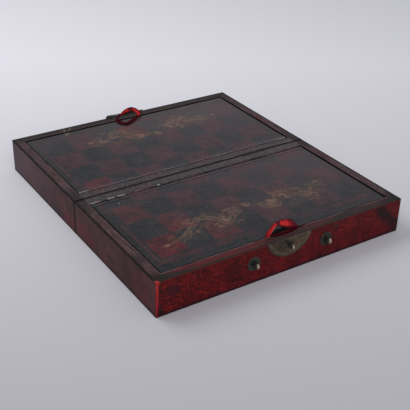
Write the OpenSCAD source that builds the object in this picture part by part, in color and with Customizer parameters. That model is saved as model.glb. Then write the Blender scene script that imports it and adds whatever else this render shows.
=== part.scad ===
// Folding chess box in red and black lacquer. Two shallow trays are hinged along
// a seam. Open flat, their hinged lids form one chequered board. Folded shut, the
// boards face each other and a hasp drops over an eye on the front.
// +X runs along the seam, -Y is the front, and the floor is at z = 0.

/* [Box] */
// Length of the box along the seam
box_len = 360; // [300:1:420]
// Depth of each half, from the seam to its outer face
half_depth = 204; // [170:1:240]
// Height of each half
half_h = 47; // [44:0.5:60]
// Radius of the upright outer corners
corner_r = 2.5; // [1:0.5:5]
// Radius of the long outer edges
edge_r = 1; // [0.4:0.1:2]
// Gap between the two halves when the box lies open
seam_gap = 1.2; // [1.2:0.1:2]
// Gap between the two rims when the box is folded shut
shut_gap = 0.6; // [0.4:0.1:1.2]

/* [Walls] */
// Thickness of the outer and side walls
wall_t = 13.5; // [12:0.5:18]
// Thickness of the wall beside the seam
seam_wall_t = 14.5; // [12:0.5:20]
// Thickness of the floor board
floor_t = 5; // [3:0.5:8]

/* [Lids] */
// Thickness of a lid board
lid_t = 5; // [4:0.5:8]
// Depth of the lid's face below the rim
lid_recess = 1.1; // [1:0.1:3]
// Gap between the lid and the outer and side walls
lid_gap = 1.8; // [0.8:0.1:2]
// Gap between the lid and the seam wall at its hinge
lid_hinge_gap = 0.5; // [0.3:0.1:1]
// Gap between the lid and the cleats it rests on
seat_gap = 0.1; // [0:0.05:0.2]
// Width of the cleats that carry the lid
cleat_w = 6; // [4:0.5:9]
// Height of the cleats
cleat_h = 7; // [4:0.5:12]
// Thickness of the lid's cloth hinge
cloth_t = 0.4; // [0.2:0.1:0.8]
// Width of the cloth that lies on the lid
cloth_on_lid = 9; // [5:0.5:16]

/* [Ribbons] */
// Outer width of the ribbon loop
ribbon_loop_w = 45; // [30:1:60]
// Height of the front loop above the lid
front_loop_h = 14; // [8:0.5:22]
// Height of the back loop above the lid
back_loop_h = 16; // [8:0.5:22]
// Width of the ribbon
ribbon_w = 7; // [4:0.5:10]
// Thickness of the ribbon
ribbon_t = 0.5; // [0.3:0.1:0.6]
// Offset of the loops from the middle of the box
ribbon_x = 3; // [-10:1:10]
// Length of ribbon held under the lid
ribbon_tail = 12; // [8:1:20]
// Thickness of the patch that holds the ribbon's ends
patch_t = 1; // [0.5:0.1:2]
// Width of the patch beyond the loop on each side
patch_side = 5; // [2:1:12]

/* [Lock] */
// Width of the half-moon lock plates along the rim
plate_w = 66; // [50:1:80]
// Height of the half-moon lock plates
plate_h = 24.5; // [18:0.5:30]
// Thickness of the lock plates
plate_t = 0.8; // [0.5:0.1:1]
// Distance that the back plate stands off its wall
plate_off = 1; // [1:0.1:1.5]
// Width of the back plate's bent border
plate_border = 2; // [1:0.5:4]
// Height of the back plate's middle above the rim
plate_rise = 3.7; // [0:0.1:4.5]
// Tilt of the loose back plate
plate_tilt = 4.8; // [0:0.1:5]
// Distance of the plates' nails from the plates' ends
plate_nail_in = 11; // [10:0.5:16]
// Depth of the plates' nails below the rim
plate_nail_z = 10; // [9:0.5:11]
// Depth of the lock eye below the rim
eye_depth = 9.5; // [8:0.5:11]
// Outer radius of the lock eye
eye_r = 3; // [2.6:0.1:3.4]
// Radius of the hole in the lock eye
eye_hole_r = 1.5; // [1:0.1:1.8]
// Thickness of the lock eye
eye_t = 2.2; // [1.8:0.1:2.6]
// Radius of the lock eye's shank
eye_shank_r = 1; // [0.7:0.05:1.2]

/* [Hasp] */
// Depth of the hasp's pivot below the rim
hasp_depth = 12; // [10:0.5:14]
// Width of the hasp
hasp_w = 12; // [9:0.5:16]
// Thickness of the hasp
hasp_t = 1; // [0.8:0.1:1.2]
// Length of the hasp beyond its slot's middle
hasp_tip = 8; // [6:0.5:10]
// Radius of the hasp's rolled knuckle
hasp_knuckle_r = 1.6; // [1.4:0.1:1.8]
// Length of the hasp's rolled knuckle
hasp_knuckle_w = 8; // [5:0.5:10]
// Radius of the staple's wire
staple_r = 0.8; // [0.6:0.05:0.9]
// Gap between the closed hasp and the back plate
hasp_clear = 0.3; // [0.2:0.05:0.6]

/* [Handle posts] */
// Distance of each handle post from the middle of the pair
post_x = 53.5; // [50:0.5:70]
// Offset of the pair of handle posts from the middle of the box
post_off = 3; // [-4:0.5:4]
// Depth of the handle posts below the rim
post_depth = 19.4; // [16:0.2:26]
// Radius of the rosette behind each post
rosette_r = 9; // [7:0.5:11]
// Height of the rosette's domed middle
rosette_h = 1.8; // [1:0.1:2.4]
// Outer radius of the post's eye
post_eye_r = 3.6; // [3:0.1:4]
// Radius of the hole for the handle
post_hole_r = 1.8; // [1.2:0.1:2.2]
// Thickness of the post's eye
post_eye_t = 2.6; // [2.6:0.1:3.4]
// Distance from the wall to the tip of the post
post_reach = 9.8; // [9.4:0.1:12]
// Radius of the post's shank
post_shank_r = 1.2; // [0.9:0.1:1.2]

/* [Fold hinges] */
// Distance of each fold hinge from the middle
hinge_x = 95; // [60:1:130]
// Length of a fold hinge
hinge_len = 40; // [30:1:56]
// Height of the leaves below the rim
leaf_h = 20; // [12:1:30]
// Thickness of the leaves
leaf_t = 0.5; // [0.3:0.05:0.55]
// Radius of the hinge knuckles
knuckle_r = 1.4; // [1.2:0.05:1.5]
// Radius of the hinge pins
pin_r = 0.7; // [0.5:0.05:0.8]

/* [Nails] */
// Radius of a nail's head
nail_head_r = 1.7; // [1.3:0.1:2.2]
// Height of a nail's head
nail_head_h = 0.8; // [0.5:0.1:1]
// Radius of a nail's shank
nail_r = 0.6; // [0.4:0.05:0.8]
// Length of nail in the wood
nail_len = 8; // [5:0.5:10]

/* [Hidden] */
$fn = 48;
// Radial clearance of shanks and pins in their holes
run = 0.05;
// Side clearance of knuckles and cut-outs
play = 0.3;
// Extra length that takes a cut past its surface
cut = 0.5;
// Depth of the shanks in the front wall
shank_in = 10;
y_seam = -seam_gap / 2;
y_out = y_seam - half_depth;
y_inner = y_seam - seam_wall_t;
y_wall = y_out + wall_t;
x_wall = box_len / 2 - wall_t;
z_fold = half_h + shut_gap / 2;
z_lid = half_h - lid_recess;
z_under = z_lid - lid_t;
z_cleat = z_under - seat_gap;
y_lid_out = y_wall + lid_gap;
y_lid_in = y_inner - lid_hinge_gap;
x_lid = x_wall - lid_gap;
patch_w = ribbon_loop_w + 2 * patch_side;
plate_r = (pow(plate_w / 2, 2) + pow(plate_h, 2)) / (2 * plate_h);
plate_nail_x = plate_w / 2 - plate_nail_in;
z_eye = half_h - eye_depth;
eye_off = plate_t + plate_off + hasp_clear + hasp_t + play + eye_r;
z_hasp = half_h - hasp_depth;
hasp_in = plate_off + plate_t + hasp_clear;
hasp_off = hasp_in + hasp_knuckle_r;
// The slot meets the eye once the box is folded and the hasp is swung over
hasp_slot = 2 * z_fold - z_hasp - z_eye;
staple_x = hasp_knuckle_w / 2 + play + staple_r;
z_post = half_h - post_depth;
seg_len = hinge_len / 3;

// Cylinders along X and along Y, which run from the point that they start at
module rod_x(r, l) { rotate([0, 90, 0]) cylinder(r = r, h = l); }
module rod_y(r, l) { rotate([-90, 0, 0]) cylinder(r = r, h = l); }

// The box's cuboids are placed by two opposite corners
module block(a, b) { translate(a) cube(b - a); }

// Everything is drawn for the front half and mirrored for the back half
module back_half() { mirror([0, 1, 0]) children(); }

// Round cap with base radius a and height h, standing on z = 0
module cap(a, h) {
    ball = (a * a + h * h) / (2 * h);
    intersection() {
        translate([0, 0, h - ball]) sphere(r = ball, $fn = 64);
        cylinder(r = a + cut, h = h + cut);
    }
}

// Wall section with its outer edges rounded, outer face at 0, depth t
module wall_section(t) {
    difference() {
        square([t, half_h]);
        for (z = [0, half_h])
            translate([0, z]) difference() {
                translate([-cut, -edge_r]) square([edge_r + cut, 2 * edge_r]);
                translate([edge_r, z == 0 ? edge_r : -edge_r]) circle(r = edge_r);
                if (z == 0) translate([0, -edge_r - cut]) square([edge_r + cut, cut]);
            }
    }
}

// Plan outline of a half with its two outer corners rounded
module half_outline() {
    r = corner_r;
    union() {
        translate([-box_len / 2, y_out + r]) square([box_len, half_depth - r]);
        translate([-box_len / 2 + r, y_out]) square([box_len - 2 * r, half_depth]);
        for (x = [-1, 1])
            translate([x * (box_len / 2 - r), y_out + r]) circle(r = r);
    }
}

// Mitred plan of one wall, cut out of the rounded outline
module mitred(points) {
    intersection() {
        children();
        linear_extrude(half_h) intersection() {
            half_outline();
            polygon(points);
        }
    }
}

module outer_wall() {
    mitred([[-box_len / 2, y_out], [box_len / 2, y_out], [x_wall, y_wall], [-x_wall, y_wall]])
        translate([-box_len / 2, y_out, 0]) rotate([90, 0, 90])
            linear_extrude(box_len) wall_section(wall_t);
}

module seam_wall() {
    difference() {
        mitred([[-box_len / 2, y_seam], [-x_wall, y_inner], [x_wall, y_inner],
                [box_len / 2, y_seam]])
            block([-box_len / 2, y_inner, 0], [box_len / 2, y_seam, half_h]);
        block([-x_wall, y_inner - cut, half_h - cloth_t], [x_wall, y_seam + cut, half_h + cut]);
        hinge_notches();
        for (x = [-hinge_x, hinge_x]) leaf_nails(x, run);
    }
}

module side_wall() {
    mitred([[-box_len / 2, y_out], [-x_wall, y_wall], [-x_wall, y_inner],
            [-box_len / 2, y_seam]])
        translate([-box_len / 2, y_seam, 0]) rotate([90, 0, 0])
            linear_extrude(half_depth) wall_section(wall_t);
}

module floor_board() {
    block([-x_wall, y_wall, 0], [x_wall, y_inner, floor_t]);
}

// The outer cleat is notched where the ribbon and its patch hang under the lid
module outer_cleat() {
    notch = patch_w / 2 + 2;
    difference() {
        block([-x_wall, y_wall, z_cleat - cleat_h], [x_wall, y_wall + cleat_w, z_cleat]);
        block([ribbon_x - notch, y_wall - cut, z_cleat - ribbon_t - patch_t - play],
              [ribbon_x + notch, y_wall + cleat_w + cut, z_cleat + cut]);
    }
}

module seam_cleat() {
    block([-x_wall, y_inner - cleat_w, z_cleat - cleat_h], [x_wall, y_inner, z_cleat]);
}

module side_cleat() {
    block([-x_wall, y_wall + cleat_w, z_cleat - cleat_h],
          [-x_wall + cleat_w, y_inner - cleat_w, z_cleat]);
}

module lid_board() {
    block([-x_lid, y_lid_out, z_under], [x_lid, y_lid_in, z_lid]);
}

// Cloth hinge of the lid, in two leaves that meet at the lid's pivot
module wall_cloth() {
    difference() {
        block([-x_wall, y_inner, half_h - cloth_t], [x_wall, y_seam, half_h]);
        hinge_notches();
    }
}

module lid_cloth() {
    block([-x_lid, y_lid_in - cloth_on_lid, z_lid], [x_lid, y_lid_in, z_lid + cloth_t]);
}

// Arch of flat ribbon against the lid's outer edge, with two tails under the lid
module ribbon(loop_h) {
    a = ribbon_loop_w / 2;
    steps = 24;
    outer = [for (i = [0:steps]) [a * cos(180 * i / steps), loop_h * sin(180 * i / steps)]];
    inner = [for (i = [steps:-1:0])
        [(a - ribbon_w) * cos(180 * i / steps), (loop_h - ribbon_w * 0.8) * sin(180 * i / steps)]];
    translate([ribbon_x, y_lid_out, z_lid]) rotate([90, 0, 0]) linear_extrude(ribbon_t)
        polygon(concat(outer, inner));
    for (s = [-1, 1])
        translate([ribbon_x + s * (a - ribbon_w / 2) - ribbon_w / 2, 0, 0]) {
            block([0, y_lid_out - ribbon_t, z_under - ribbon_t], [ribbon_w, y_lid_out, z_lid]);
            block([0, y_lid_out - ribbon_t, z_under - ribbon_t],
                  [ribbon_w, y_lid_out + ribbon_tail, z_under]);
        }
}

module ribbon_patch() {
    z = z_under - ribbon_t;
    block([ribbon_x - patch_w / 2, y_lid_out + lid_gap, z - patch_t],
          [ribbon_x + patch_w / 2, y_lid_out + ribbon_tail + lid_gap, z]);
}

// Half-moon of thickness t in front of the wall, its straight edge at the rim
module half_moon(r, t) {
    intersection() {
        translate([0, -t, plate_r - plate_h]) rod_y(r, t);
        block([-plate_w, -t, -plate_h - cut], [plate_w, 0, 0]);
    }
}

module front_lock_plate() {
    difference() {
        translate([0, y_out, half_h]) half_moon(plate_r, plate_t);
        translate([0, y_out - plate_t - cut, z_eye]) rod_y(eye_shank_r + run, plate_t + 2 * cut);
        for (s = [-1, 1]) plate_nail(s, plate_t, run);
    }
}

// The back plate is dished: its border meets the wall and its face stands off
module back_lock_plate() {
    difference() {
        translate([0, y_out, half_h + plate_rise]) rotate([0, plate_tilt, 0]) {
            translate([0, -plate_off, 0]) half_moon(plate_r, plate_t);
            intersection() {
                difference() {
                    half_moon(plate_r, plate_off);
                    translate([0, cut, 0]) half_moon(plate_r - plate_border, plate_off + 2 * cut);
                }
                rotate([0, -plate_tilt, 0])
                    block([-plate_w, -plate_off, -2 * plate_h], [plate_w, 0, -plate_rise - cut]);
            }
        }
        for (s = [-1, 1]) {
            plate_nail(s, plate_off + plate_t, run);
            translate([s * staple_x, y_out - hasp_off, z_hasp]) rod_y(staple_r + run, hasp_off);
        }
    }
}

// Round-headed nail along Y, its head's underside at the given height off the wall
module plate_nail(s, off, grow = 0) {
    translate([s * plate_nail_x, y_out - off, half_h - plate_nail_z]) {
        rod_y(nail_r + grow, nail_len + off + grow);
        if (grow == 0) rotate([90, 0, 0]) cap(nail_head_r, nail_head_h);
    }
}

// Flat eye on a round shank, with its hole along X
module eye(r, hole, t, off, shank) {
    difference() {
        union() {
            translate([-t / 2, y_out - off, 0]) rod_x(r, t);
            translate([0, y_out - off + (r + hole) / 2, 0])
                rod_y(shank, off - (r + hole) / 2 + shank_in);
        }
        translate([-t, y_out - off, 0]) rod_x(hole, 2 * t);
    }
}

module lock_eye() {
    translate([0, 0, z_eye]) eye(eye_r, eye_hole_r, eye_t, eye_off, eye_shank_r);
}

module handle_post() {
    translate([-post_x, 0, z_post])
        eye(post_eye_r, post_hole_r, post_eye_t, post_reach - post_eye_r, post_shank_r);
}

module rosette() {
    bead = 0.7;
    translate([-post_x, y_out, z_post]) rotate([90, 0, 0]) difference() {
        union() {
            cylinder(r = rosette_r, h = bead);
            translate([0, 0, bead]) rotate_extrude() translate([rosette_r - bead, 0]) circle(r = bead);
            cap(rosette_r * 0.68, rosette_h);
        }
        translate([0, 0, -cut]) cylinder(r = rosette_r + cut, h = cut);
        translate([0, 0, -cut]) cylinder(r = post_shank_r + run, h = rosette_h + 2 * cut);
    }
}

// Holes in the front wall for the shanks and the plate's nails
module front_wall() {
    difference() {
        outer_wall();
        for (x = [post_off - post_x, post_off + post_x])
            translate([x, y_out - cut, z_post]) rod_y(post_shank_r + run, shank_in + cut + play);
        translate([0, y_out - cut, z_eye]) rod_y(eye_shank_r + run, shank_in + cut + play);
        for (s = [-1, 1]) plate_nail(s, plate_t, run);
    }
}

module back_wall() {
    difference() {
        outer_wall();
        for (s = [-1, 1]) {
            plate_nail(s, plate_off + plate_t, run);
            translate([s * staple_x, y_out - cut, z_hasp]) rod_y(staple_r + run, nail_len + cut);
        }
    }
}

// U-shaped staple whose cross bar carries the hasp
module hasp_staple() {
    for (s = [-1, 1])
        translate([s * staple_x, y_out - hasp_off, z_hasp]) {
            rod_y(staple_r, hasp_off + nail_len - run);
            sphere(r = staple_r);
        }
    translate([-staple_x, y_out - hasp_off, z_hasp]) rod_x(staple_r, 2 * staple_x);
}

// The hasp hangs from the staple at rest, its plate on the outer side of the bar
module hasp() {
    y0 = y_out - hasp_off - hasp_knuckle_r;
    difference() {
        union() {
            translate([-hasp_knuckle_w / 2, y_out - hasp_off, z_hasp])
                rod_x(hasp_knuckle_r, hasp_knuckle_w);
            block([-hasp_knuckle_w / 2, y0, z_hasp - hasp_knuckle_r - cut],
                  [hasp_knuckle_w / 2, y0 + hasp_t, z_hasp]);
            block([-hasp_w / 2, y0, z_hasp - hasp_slot - hasp_tip + hasp_w / 2],
                  [hasp_w / 2, y0 + hasp_t, z_hasp - hasp_knuckle_r - cut]);
            translate([0, y0, z_hasp - hasp_slot - hasp_tip + hasp_w / 2]) rod_y(hasp_w / 2, hasp_t);
        }
        translate([-hasp_w, y_out - hasp_off, z_hasp]) rod_x(staple_r + run, 2 * hasp_w);
        block([-eye_t / 2 - play, y0 - cut, z_hasp - hasp_slot - eye_r - 1],
              [eye_t / 2 + play, y0 + hasp_t + cut, z_hasp - hasp_slot + eye_r + 1]);
    }
}

// Notches in the seam walls and their cloth that clear the hinge knuckles
module hinge_notches() {
    side = knuckle_r + play;
    for (x = [-hinge_x, hinge_x])
        block([x - hinge_len / 2 - play, y_seam - side + seam_gap / 2, z_fold - side - play],
              [x + hinge_len / 2 + play, y_seam + cut, half_h + cut]);
}

// Leaf on a seam face; its knuckles take the given thirds of the hinge
module leaf(x, thirds) {
    x0 = x - hinge_len / 2;
    difference() {
        union() {
            block([x0, y_seam, half_h - leaf_h], [x0 + hinge_len, y_seam + leaf_t,
                                                  z_fold - knuckle_r - play]);
            for (i = thirds) {
                translate([x0 + i * seg_len + play / 2, 0, z_fold])
                    rod_x(knuckle_r, seg_len - play);
                block([x0 + i * seg_len + play / 2, y_seam, z_fold - knuckle_r - play - cut],
                      [x0 + (i + 1) * seg_len - play / 2, y_seam + leaf_t, z_fold]);
            }
        }
        translate([x0 - cut, 0, z_fold]) rod_x(pin_r + run, hinge_len + 2 * cut);
        leaf_nails(x, run);
    }
}

module hinge_pin(x) {
    translate([x - hinge_len / 2, 0, z_fold]) rod_x(pin_r, hinge_len);
}

// Two flush nails that hold a leaf to its seam wall
module leaf_nails(x, grow = 0) {
    for (s = [-1, 1])
        translate([x + s * hinge_len / 4, y_seam - nail_len - grow, half_h - leaf_h * 0.6])
            rod_y(nail_r + grow, nail_len + leaf_t + (grow > 0 ? cut : 0));
}

red = [0.42, 0.09, 0.09];
dark = [0.24, 0.2, 0.21];
brass = [0.36, 0.31, 0.24];
wood = [0.45, 0.3, 0.2];
satin = [0.72, 0.14, 0.14];
steel = [0.5, 0.5, 0.5];

module right() { mirror([1, 0, 0]) children(); }
module handle_place() { translate([post_off, 0, 0]) children(); }

// Front half
color(dark) floor_board();  // front_floor
color(red) front_wall();  // front_outer_wall
color(dark) seam_wall();  // front_seam_wall
color(dark) side_wall();  // front_left_wall
color(dark) right() side_wall();  // front_right_wall
color(wood) outer_cleat();  // front_outer_cleat
color(wood) seam_cleat();  // front_seam_cleat
color(wood) side_cleat();  // front_left_cleat
color(wood) right() side_cleat();  // front_right_cleat
color(dark) wall_cloth();  // front_wall_cloth
color(red) lid_board();  // front_lid_board
color(dark) lid_cloth();  // front_lid_cloth
color(satin) ribbon(front_loop_h);  // front_ribbon
color(wood) ribbon_patch();  // front_ribbon_patch
color(brass) front_lock_plate();
color(brass) plate_nail(-1, plate_t);  // front_plate_nail_left
color(brass) plate_nail(1, plate_t);  // front_plate_nail_right
color(brass) lock_eye();
color(brass) handle_place() rosette();  // left_rosette
color(brass) handle_place() right() rosette();  // right_rosette
color(brass) handle_place() handle_post();  // left_handle_post
color(brass) handle_place() right() handle_post();  // right_handle_post

// Back half
color(dark) back_half() floor_board();  // back_floor
color(red) back_half() back_wall();  // back_outer_wall
color(dark) back_half() seam_wall();  // back_seam_wall
color(dark) back_half() side_wall();  // back_left_wall
color(dark) back_half() right() side_wall();  // back_right_wall
color(wood) back_half() outer_cleat();  // back_outer_cleat
color(wood) back_half() seam_cleat();  // back_seam_cleat
color(wood) back_half() side_cleat();  // back_left_cleat
color(wood) back_half() right() side_cleat();  // back_right_cleat
color(dark) back_half() wall_cloth();  // back_wall_cloth
color(red) back_half() lid_board();  // back_lid_board
color(dark) back_half() lid_cloth();  // back_lid_cloth
color(satin) back_half() ribbon(back_loop_h);  // back_ribbon
color(wood) back_half() ribbon_patch();  // back_ribbon_patch
color(brass) back_half() back_lock_plate();
color(brass) back_half() plate_nail(-1, plate_off + plate_t);  // back_plate_nail_left
color(brass) back_half() plate_nail(1, plate_off + plate_t);  // back_plate_nail_right
color(brass) back_half() hasp_staple();
color(brass) back_half() hasp();

// Fold hinges
color(steel) leaf(-hinge_x, [0, 2]);  // left_hinge_front_leaf
color(steel) back_half() leaf(-hinge_x, [1]);  // left_hinge_back_leaf
color(steel) hinge_pin(-hinge_x);  // left_hinge_pin
color(steel) leaf_nails(-hinge_x);  // left_hinge_front_nails
color(steel) back_half() leaf_nails(-hinge_x);  // left_hinge_back_nails
color(steel) leaf(hinge_x, [0, 2]);  // right_hinge_front_leaf
color(steel) back_half() leaf(hinge_x, [1]);  // right_hinge_back_leaf
color(steel) hinge_pin(hinge_x);  // right_hinge_pin
color(steel) leaf_nails(hinge_x);  // right_hinge_front_nails
color(steel) back_half() leaf_nails(hinge_x);  // right_hinge_back_nails
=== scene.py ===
"""Looks of the folding chess box: worn red and black lacquer, brass, satin ribbons and cloth hinges."""

import math
import random
from functools import reduce

import bmesh
import bpy
from mathutils import Matrix, Vector


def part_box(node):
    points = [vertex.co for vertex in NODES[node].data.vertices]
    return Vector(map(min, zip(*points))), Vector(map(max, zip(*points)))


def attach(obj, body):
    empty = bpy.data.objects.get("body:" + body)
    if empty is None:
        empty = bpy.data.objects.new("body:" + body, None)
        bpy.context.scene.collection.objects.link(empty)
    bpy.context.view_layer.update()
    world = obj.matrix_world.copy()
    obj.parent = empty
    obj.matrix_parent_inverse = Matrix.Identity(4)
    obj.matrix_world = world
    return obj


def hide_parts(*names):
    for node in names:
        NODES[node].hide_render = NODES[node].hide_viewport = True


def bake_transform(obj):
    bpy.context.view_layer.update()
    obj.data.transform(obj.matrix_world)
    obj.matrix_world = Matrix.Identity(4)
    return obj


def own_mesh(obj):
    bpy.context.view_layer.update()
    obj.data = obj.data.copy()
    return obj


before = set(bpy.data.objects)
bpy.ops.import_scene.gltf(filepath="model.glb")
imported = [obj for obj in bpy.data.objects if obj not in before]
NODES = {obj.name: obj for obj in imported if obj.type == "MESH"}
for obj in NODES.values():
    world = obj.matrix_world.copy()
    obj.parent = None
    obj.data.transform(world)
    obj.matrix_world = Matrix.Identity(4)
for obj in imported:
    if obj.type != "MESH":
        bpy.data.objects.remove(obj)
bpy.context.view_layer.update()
SCENE = bpy.context.scene
MM = 0.001


def corners_of(node):
    """Low and high corner of a CAD node in mm"""
    return [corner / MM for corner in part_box(node)]


def center_of(node):
    low, high = corners_of(node)
    return (low + high) / 2


# Sizes of the box in mm, read from the back half, where y is positive
LID_LOW, LID_HIGH = corners_of("back_lid_board")
WALL_LOW, WALL_HIGH = corners_of("back_outer_wall")
CLOTH_LOW, CLOTH_HIGH = corners_of("back_wall_cloth")
HALF_X, Y_OUT, Z_RIM = WALL_HIGH
Y_WALL = WALL_LOW.y
X_WALL, Y_INNER, Y_SEAM = CLOTH_HIGH.x, CLOTH_HIGH.y, CLOTH_LOW.y
X_LID, Y_LID_OUT, Z_LID = LID_HIGH
Y_LID_IN, Z_UNDER = LID_LOW.y, LID_LOW.z
Y_GAP = (Y_WALL + Y_LID_OUT) / 2
# The chequered field: 8 columns and 8 rows
COL = 38.03
FIELD_LEFT, FIELD_RIGHT = -150.4, -150.4 + 8 * COL
ROW_FRONT, ROW_BACK = 42.1, 42.5
FIELD_FRONT, FIELD_BACK = -165.5, 168.7
# Distances from the seam: the frayed threads of the hinge cloth, its dark crack, and where it ends on the lid
FRAY = {"front": 15.8, "back": 17}
CRACK = {"front": 17.9, "back": 14.2}
CLOTH_END = 24.2
# Ranges of x where the lacquer on the cloth is red
RED_FRONT = [(-114, -80), (-16, -6), (34, 68), (114, 158)]
RED_BACK = [(-150, -118), (-72, -48), (-2, 38), (68, 108)]
EYE = center_of("lock_eye")
PLATE_LOW, PLATE_HIGH = corners_of("front_lock_plate")
PLATE_TALL = PLATE_HIGH.z - PLATE_LOW.z
PLATE_RADIUS = (PLATE_HIGH.x ** 2 + PLATE_TALL ** 2) / 2 / PLATE_TALL
PLATE_MIDDLE = PLATE_LOW.z + PLATE_RADIUS
ROSETTES = [center_of("left_rosette"), center_of("right_rosette")]


# ---- shader helpers

class Val:
    """A shader value in arithmetic; each operation adds one Math node"""

    def __init__(self, shade, socket):
        self.shade, self.socket = shade, socket

    def __rsub__(self, other):
        return self.shade.math("SUBTRACT", other, self)

    def clamp(self):
        return self.shade.math("ADD", self, 0, clamp=True)

    def step(self, low, high):
        """0 at low, 1 at high, smooth between; high may be below low"""
        ends = (high, low, 1, 0) if high < low else (low, high, 0, 1)
        node = self.shade.node("MapRange", self, *ends, interpolation_type="SMOOTHSTEP")
        return Val(self.shade, node.outputs[0])


OPERATIONS = dict(
    __add__="ADD", __radd__="ADD", __sub__="SUBTRACT", __mul__="MULTIPLY", __rmul__="MULTIPLY",
    __truediv__="DIVIDE", __abs__="ABSOLUTE", max="MAXIMUM", min="MINIMUM", sine="SINE", floor="FLOOR",
    root="SQRT")
for method, operation in OPERATIONS.items():
    setattr(Val, method, lambda self, *others, kind=operation: self.shade.math(kind, self, *others))


class Shade:
    """One node material, built from object coordinates in mm"""

    def __init__(self, name):
        self.mat = bpy.data.materials.new(name)
        self.mat.use_nodes = True
        self.tree = self.mat.node_tree
        self.tree.nodes.clear()
        coords = self.node("TexCoord")
        scale = self.node("VectorMath", coords.outputs["Object"], operation="SCALE")
        scale.inputs["Scale"].default_value = 1 / MM
        self.mm = scale.outputs[0]
        self.x, self.y, self.z = self.split(self.mm)
        self.nx, self.ny, self.nz = self.split(coords.outputs["Normal"])

    def node(self, kind, *values, **settings):
        """Adds a node with its settings, and gives its first inputs their values"""
        node = self.tree.nodes.new("ShaderNode" + kind)
        for name, value in settings.items():
            setattr(node, name, value)
        for value, socket in zip(values, node.inputs):
            self.link(value, socket)
        return node

    def link(self, value, socket):
        if isinstance(value, Val):
            value = value.socket
        if isinstance(value, bpy.types.NodeSocket):
            self.tree.links.new(value, socket)
        else:
            socket.default_value = value

    def split(self, vector):
        return [Val(self, s) for s in self.node("SeparateXYZ", vector).outputs]

    def vector(self, *parts):
        return self.node("CombineXYZ", *parts).outputs[0]

    def math(self, kind, *values, clamp=False):
        return Val(self, self.node("Math", *values, operation=kind, use_clamp=clamp).outputs[0])

    def texture(self, kind, size, seed, at=None):
        """Texture node whose features are about size mm, one number or one for each axis"""
        if not isinstance(size, tuple):
            size = (size, size, size)
        place = self.node("Mapping", self.mm if at is None else at, (seed * 7.3, seed * 3.1, seed * 5.7),
                          (0, 0, 0), tuple(1 / s for s in size))
        node = self.node(kind, place.outputs[0])
        node.inputs["Scale"].default_value = 1
        return node

    def noise(self, size, detail, rough, seed, warp=0, at=None):
        """Noise from 0 to 1; its seed moves it to a place of its own"""
        node = self.texture("TexNoise", size, seed, at)
        for name, value in (("Detail", detail), ("Roughness", rough), ("Distortion", warp)):
            node.inputs[name].default_value = value
        return Val(self, node.outputs[0])

    def cells(self, size, seed):
        """Distance to the middle of the nearest cell, as a share of size"""
        return Val(self, self.texture("TexVoronoi", size, seed).outputs["Distance"])

    def spot(self, a, b, *ellipses):
        """1 in ellipses (a, b, radius along a, radius along b), fading to 0 at their edges"""
        parts = []
        for a0, b0, ra, rb in ellipses:
            u, v = (a - a0) / ra, (b - b0) / rb
            parts.append((u * u + v * v).step(1.5, 0.25))
        return reduce(Val.max, parts)

    def span(self, value, *ranges, soft=3):
        """1 where value lies in one of the ranges"""
        return reduce(Val.max, [value.step(low - soft, low) * value.step(high + soft, high)
                                for low, high in ranges])

    def coats(self, color, *layers):
        """Lays (factor, colour) layers on a colour. A colour is a socket, or a tuple in thousandths."""
        for factor, tone in layers:
            node = self.node("Mix", factor, data_type="RGBA")
            for value, socket in ((color, node.inputs[6]), (tone, node.inputs[7])):
                if isinstance(value, tuple):
                    value = (*(c / 1000 for c in value), 1)
                self.link(value, socket)
            color = node.outputs[2]
        return color

    def finish(self, color, rough, bump, depth, level, metal=0):
        """Ends the material in one Principled shader; bump is a height from 0 to 1, depth its mm"""
        shader = self.node("BsdfPrincipled")
        for name, value in (("Base Color", color), ("Roughness", rough), ("Specular IOR Level", level),
                            ("Metallic", metal)):
            self.link(value, shader.inputs[name])
        node = self.node("Bump")
        node.inputs["Strength"].default_value = 1
        node.inputs["Distance"].default_value = depth * MM
        self.link(bump, node.inputs["Height"])
        self.link(node.outputs[0], shader.inputs["Normal"])
        self.node("OutputMaterial", shader.outputs[0])
        return self.mat


# ---- lacquer

def edges(s):
    """Distances in mm to the outer top edge, the bottom edge, the upright corners, the inner rim and the
    outer face"""
    ax, ay = abs(s.x), abs(s.y)
    side = (Y_OUT - ay).min(HALF_X - ax)
    inner = (ax - X_WALL).max(ay - Y_WALL).max(Y_INNER - ay)
    pairs = (side, Z_RIM - s.z), (side, s.z), (Y_OUT - ay, HALF_X - ax), (inner, Z_RIM - s.z)
    return *((a * a + b * b).root() for a, b in pairs), side


def inside_wood(s):
    """Bare aged wood for the faces inside the trays, and its grain"""
    grain = s.noise((26, 1.6, 1.6), 4, 0.6, 3)
    return s.coats(
        (190, 105, 55), (grain.step(0.3, 0.7), (300, 190, 110)),
        (s.noise(40, 3, 0.6, 9).step(0.45, 0.75), (100, 55, 35))), grain


def plain_lacquer(s):
    """Dark red lacquer of the faces the photograph does not show: undersides, and the walls at the seam"""
    streak = s.noise((40, 3, 3), 4, 0.62, 19)
    return s.coats(
        (34, 9, 10.5),
        (s.noise(34, 4, 0.62, 18, warp=0.4).step(0.34, 0.66), (88, 11, 13.5)),
        (streak.step(0.48, 0.66) * 0.6, (20, 8, 9)),
        (streak.step(0.44, 0.32) * 0.25, (125, 30, 32)))


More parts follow.
